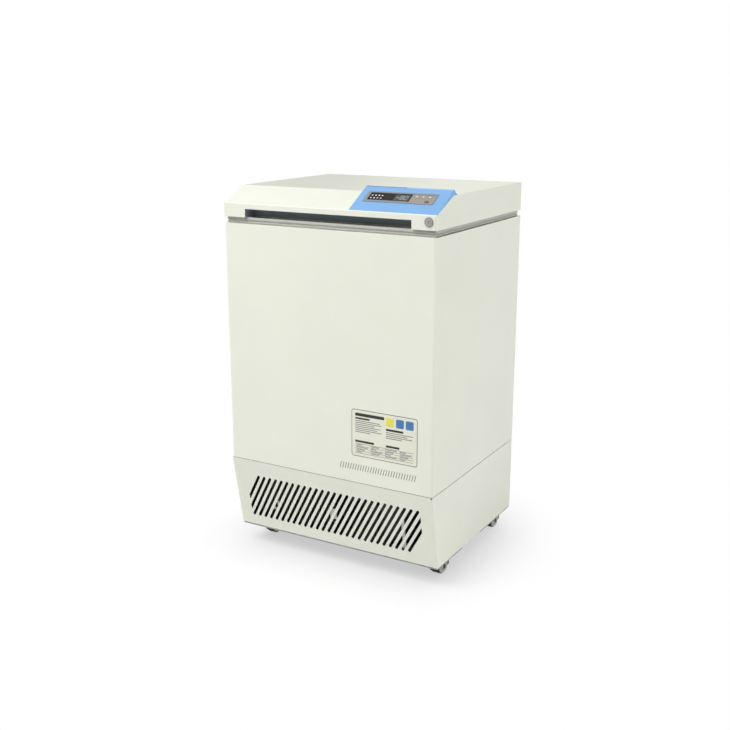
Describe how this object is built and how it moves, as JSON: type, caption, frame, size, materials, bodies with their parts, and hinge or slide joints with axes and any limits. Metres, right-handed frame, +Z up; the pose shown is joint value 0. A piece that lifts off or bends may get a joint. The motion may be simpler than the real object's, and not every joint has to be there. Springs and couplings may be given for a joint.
{
  "type": "ultra low temperature freezer",
  "caption": "Compact chest freezer for ultra low temperatures: hinged top lid with a display console, leaning front grille, cascade cooling unit and swivel casters.",
  "frame": {"origin": "on the floor under the middle of the overall box", "axes": "+Z up, +X to the right seen from the front, -Y out of the front with the grille and the lock"},
  "size_m": [0.677, 0.606, 1.1198],
  "materials": {
    "painted_cream": "satin",
    "painted_rear": "satin",
    "galvanised": "satin",
    "stainless": "satin",
    "zinc": "satin",
    "black_wheel": "matte",
    "foam": "matte",
    "throat_plastic": "matte",
    "liner_plastic": "matte",
    "gasket": "matte",
    "recess_plastic": "matte",
    "copper": "satin",
    "compressor_black": "satin",
    "mount_rubber": "matte",
    "condenser_fins": "satin",
    "shroud_black": "matte",
    "motor_body": "satin",
    "fan_blades": "satin",
    "insulation_black": "matte",
    "vessel_black": "satin",
    "inlet_black": "satin",
    "hinge_steel": "satin",
    "lock_metal": "satin",
    "console_blue": "satin",
    "frame_silver": "satin",
    "window_dark": "gloss",
    "keypad_taupe": "matte",
    "key_taupe": "matte",
    "key_dark": "matte",
    "board_green": "satin",
    "digits_dark": "satin",
    "lamp_clear": "gloss"
  },
  "bodies": {
    "cabinet": {"base_tray": "galvanised", "base_rails": "galvanised", "frame_posts": "galvanised", "lower_panel_left": "painted_cream", "lower_panel_right": "painted_cream", "front_grille": "painted_cream", "rear_grille": "painted_rear", "outer_shell": "painted_cream", "rear_panel": "painted_rear", "deck_plate": "galvanised", "foam_body": "foam", "tank_liner": "stainless", "throat_frame": "throat_plastic", "evaporator_coil": "copper", "compressor_high_stage": "compressor_black", "compressor_low_stage": "compressor_black", "compressor_mounts": "mount_rubber", "condenser": "condenser_fins", "fan_shroud": "shroud_black", "fan_motor": "motor_body", "filter_driers": "copper", "heat_exchanger": "insulation_black", "expansion_tank": "vessel_black", "refrigerant_lines": "copper", "control_box": "galvanised", "power_inlet": "inlet_black", "hinge_bases": "hinge_steel", "hinge_pins": "hinge_steel", "lock_keeper": "hinge_steel", "caster_plates": "zinc"},
    "lid": {"lid_shell": "painted_cream", "lid_foam": "foam", "lid_liner": "liner_plastic", "lid_gasket": "gasket", "grip_recess": "recess_plastic", "console_housing": "console_blue", "display_frame": "frame_silver", "display_window": "window_dark", "keypad": "keypad_taupe", "control_board": "board_green", "display_module": "digits_dark", "status_lights": "lamp_clear", "lock_housing": "lock_metal", "hinge_leaves": "hinge_steel"},
    "lock_core": {"lock_cylinder": "lock_metal", "lock_cam": "hinge_steel"},
    "fan": {"fan_rotor": "fan_blades"},
    "key_alarm_body": {"key_alarm": "key_taupe"},
    "key_up_body": {"key_up": "key_taupe"},
    "key_down_body": {"key_down": "key_taupe"},
    "key_set_body": {"key_set": "key_dark"},
    "swivel_front_left": {"caster_fork_front_left": "zinc"},
    "wheel_front_left": {"caster_wheel_front_left": "black_wheel"},
    "swivel_front_right": {"caster_fork_front_right": "zinc"},
    "wheel_front_right": {"caster_wheel_front_right": "black_wheel"},
    "swivel_rear_left": {"caster_fork_rear_left": "zinc"},
    "wheel_rear_left": {"caster_wheel_rear_left": "black_wheel"},
    "swivel_rear_right": {"caster_fork_rear_right": "zinc"},
    "wheel_rear_right": {"caster_wheel_rear_right": "black_wheel"}
  },
  "joints": [
    {"name": "lid_hinge", "type": "hinge", "parent": "cabinet", "child": "lid", "pos_m": [0, 0.291, 1.014], "axis": [-1, 0, 0], "range_deg": [0, 80]},
    {"name": "lock_turn", "type": "hinge", "parent": "lid", "child": "lock_core", "pos_m": [0.316, -0.299, 1.0446], "axis": [0, -1, 0], "range_deg": [0, 90]},
    {"name": "key_alarm_press", "type": "slide", "parent": "lid", "child": "key_alarm_body", "axis": [0, 0.497, -0.8678], "range_m": [0, 0.0006], "stiffness_N_per_m": 1500, "springref_m": -0.0002},
    {"name": "key_up_press", "type": "slide", "parent": "lid", "child": "key_up_body", "axis": [0, 0.497, -0.8678], "range_m": [0, 0.0006], "stiffness_N_per_m": 1500, "springref_m": -0.0002},
    {"name": "key_down_press", "type": "slide", "parent": "lid", "child": "key_down_body", "axis": [0, 0.497, -0.8678], "range_m": [0, 0.0006], "stiffness_N_per_m": 1500, "springref_m": -0.0002},
    {"name": "key_set_press", "type": "slide", "parent": "lid", "child": "key_set_body", "axis": [0, 0.497, -0.8678], "range_m": [0, 0.0006], "stiffness_N_per_m": 1500, "springref_m": -0.0002},
    {"name": "fan_spin", "type": "hinge", "parent": "cabinet", "child": "fan", "pos_m": [-0.172, -0.177, 0.1882], "axis": [0, 1, 0], "continuous": true},
    {"name": "swivel_front_left", "type": "hinge", "parent": "cabinet", "child": "swivel_front_left", "pos_m": [-0.292, -0.177, 0.05], "axis": [0, 0, 1], "continuous": true},
    {"name": "roll_front_left", "type": "hinge", "parent": "swivel_front_left", "child": "wheel_front_left", "pos_m": [-0.292, -0.153, 0.023], "axis": [1, 0, 0], "continuous": true},
    {"name": "swivel_front_right", "type": "hinge", "parent": "cabinet", "child": "swivel_front_right", "pos_m": [0.292, -0.177, 0.05], "axis": [0, 0, 1], "continuous": true},
    {"name": "roll_front_right", "type": "hinge", "parent": "swivel_front_right", "child": "wheel_front_right", "pos_m": [0.292, -0.153, 0.023], "axis": [1, 0, 0], "continuous": true},
    {"name": "swivel_rear_left", "type": "hinge", "parent": "cabinet", "child": "swivel_rear_left", "pos_m": [-0.292, 0.205, 0.05], "axis": [0, 0, 1], "continuous": true},
    {"name": "roll_rear_left", "type": "hinge", "parent": "swivel_rear_left", "child": "wheel_rear_left", "pos_m": [-0.292, 0.229, 0.023], "axis": [1, 0, 0], "continuous": true},
    {"name": "swivel_rear_right", "type": "hinge", "parent": "cabinet", "child": "swivel_rear_right", "pos_m": [0.292, 0.205, 0.05], "axis": [0, 0, 1], "continuous": true},
    {"name": "roll_rear_right", "type": "hinge", "parent": "swivel_rear_right", "child": "wheel_rear_right", "pos_m": [0.292, 0.229, 0.023], "axis": [1, 0, 0], "continuous": true}
  ]
}
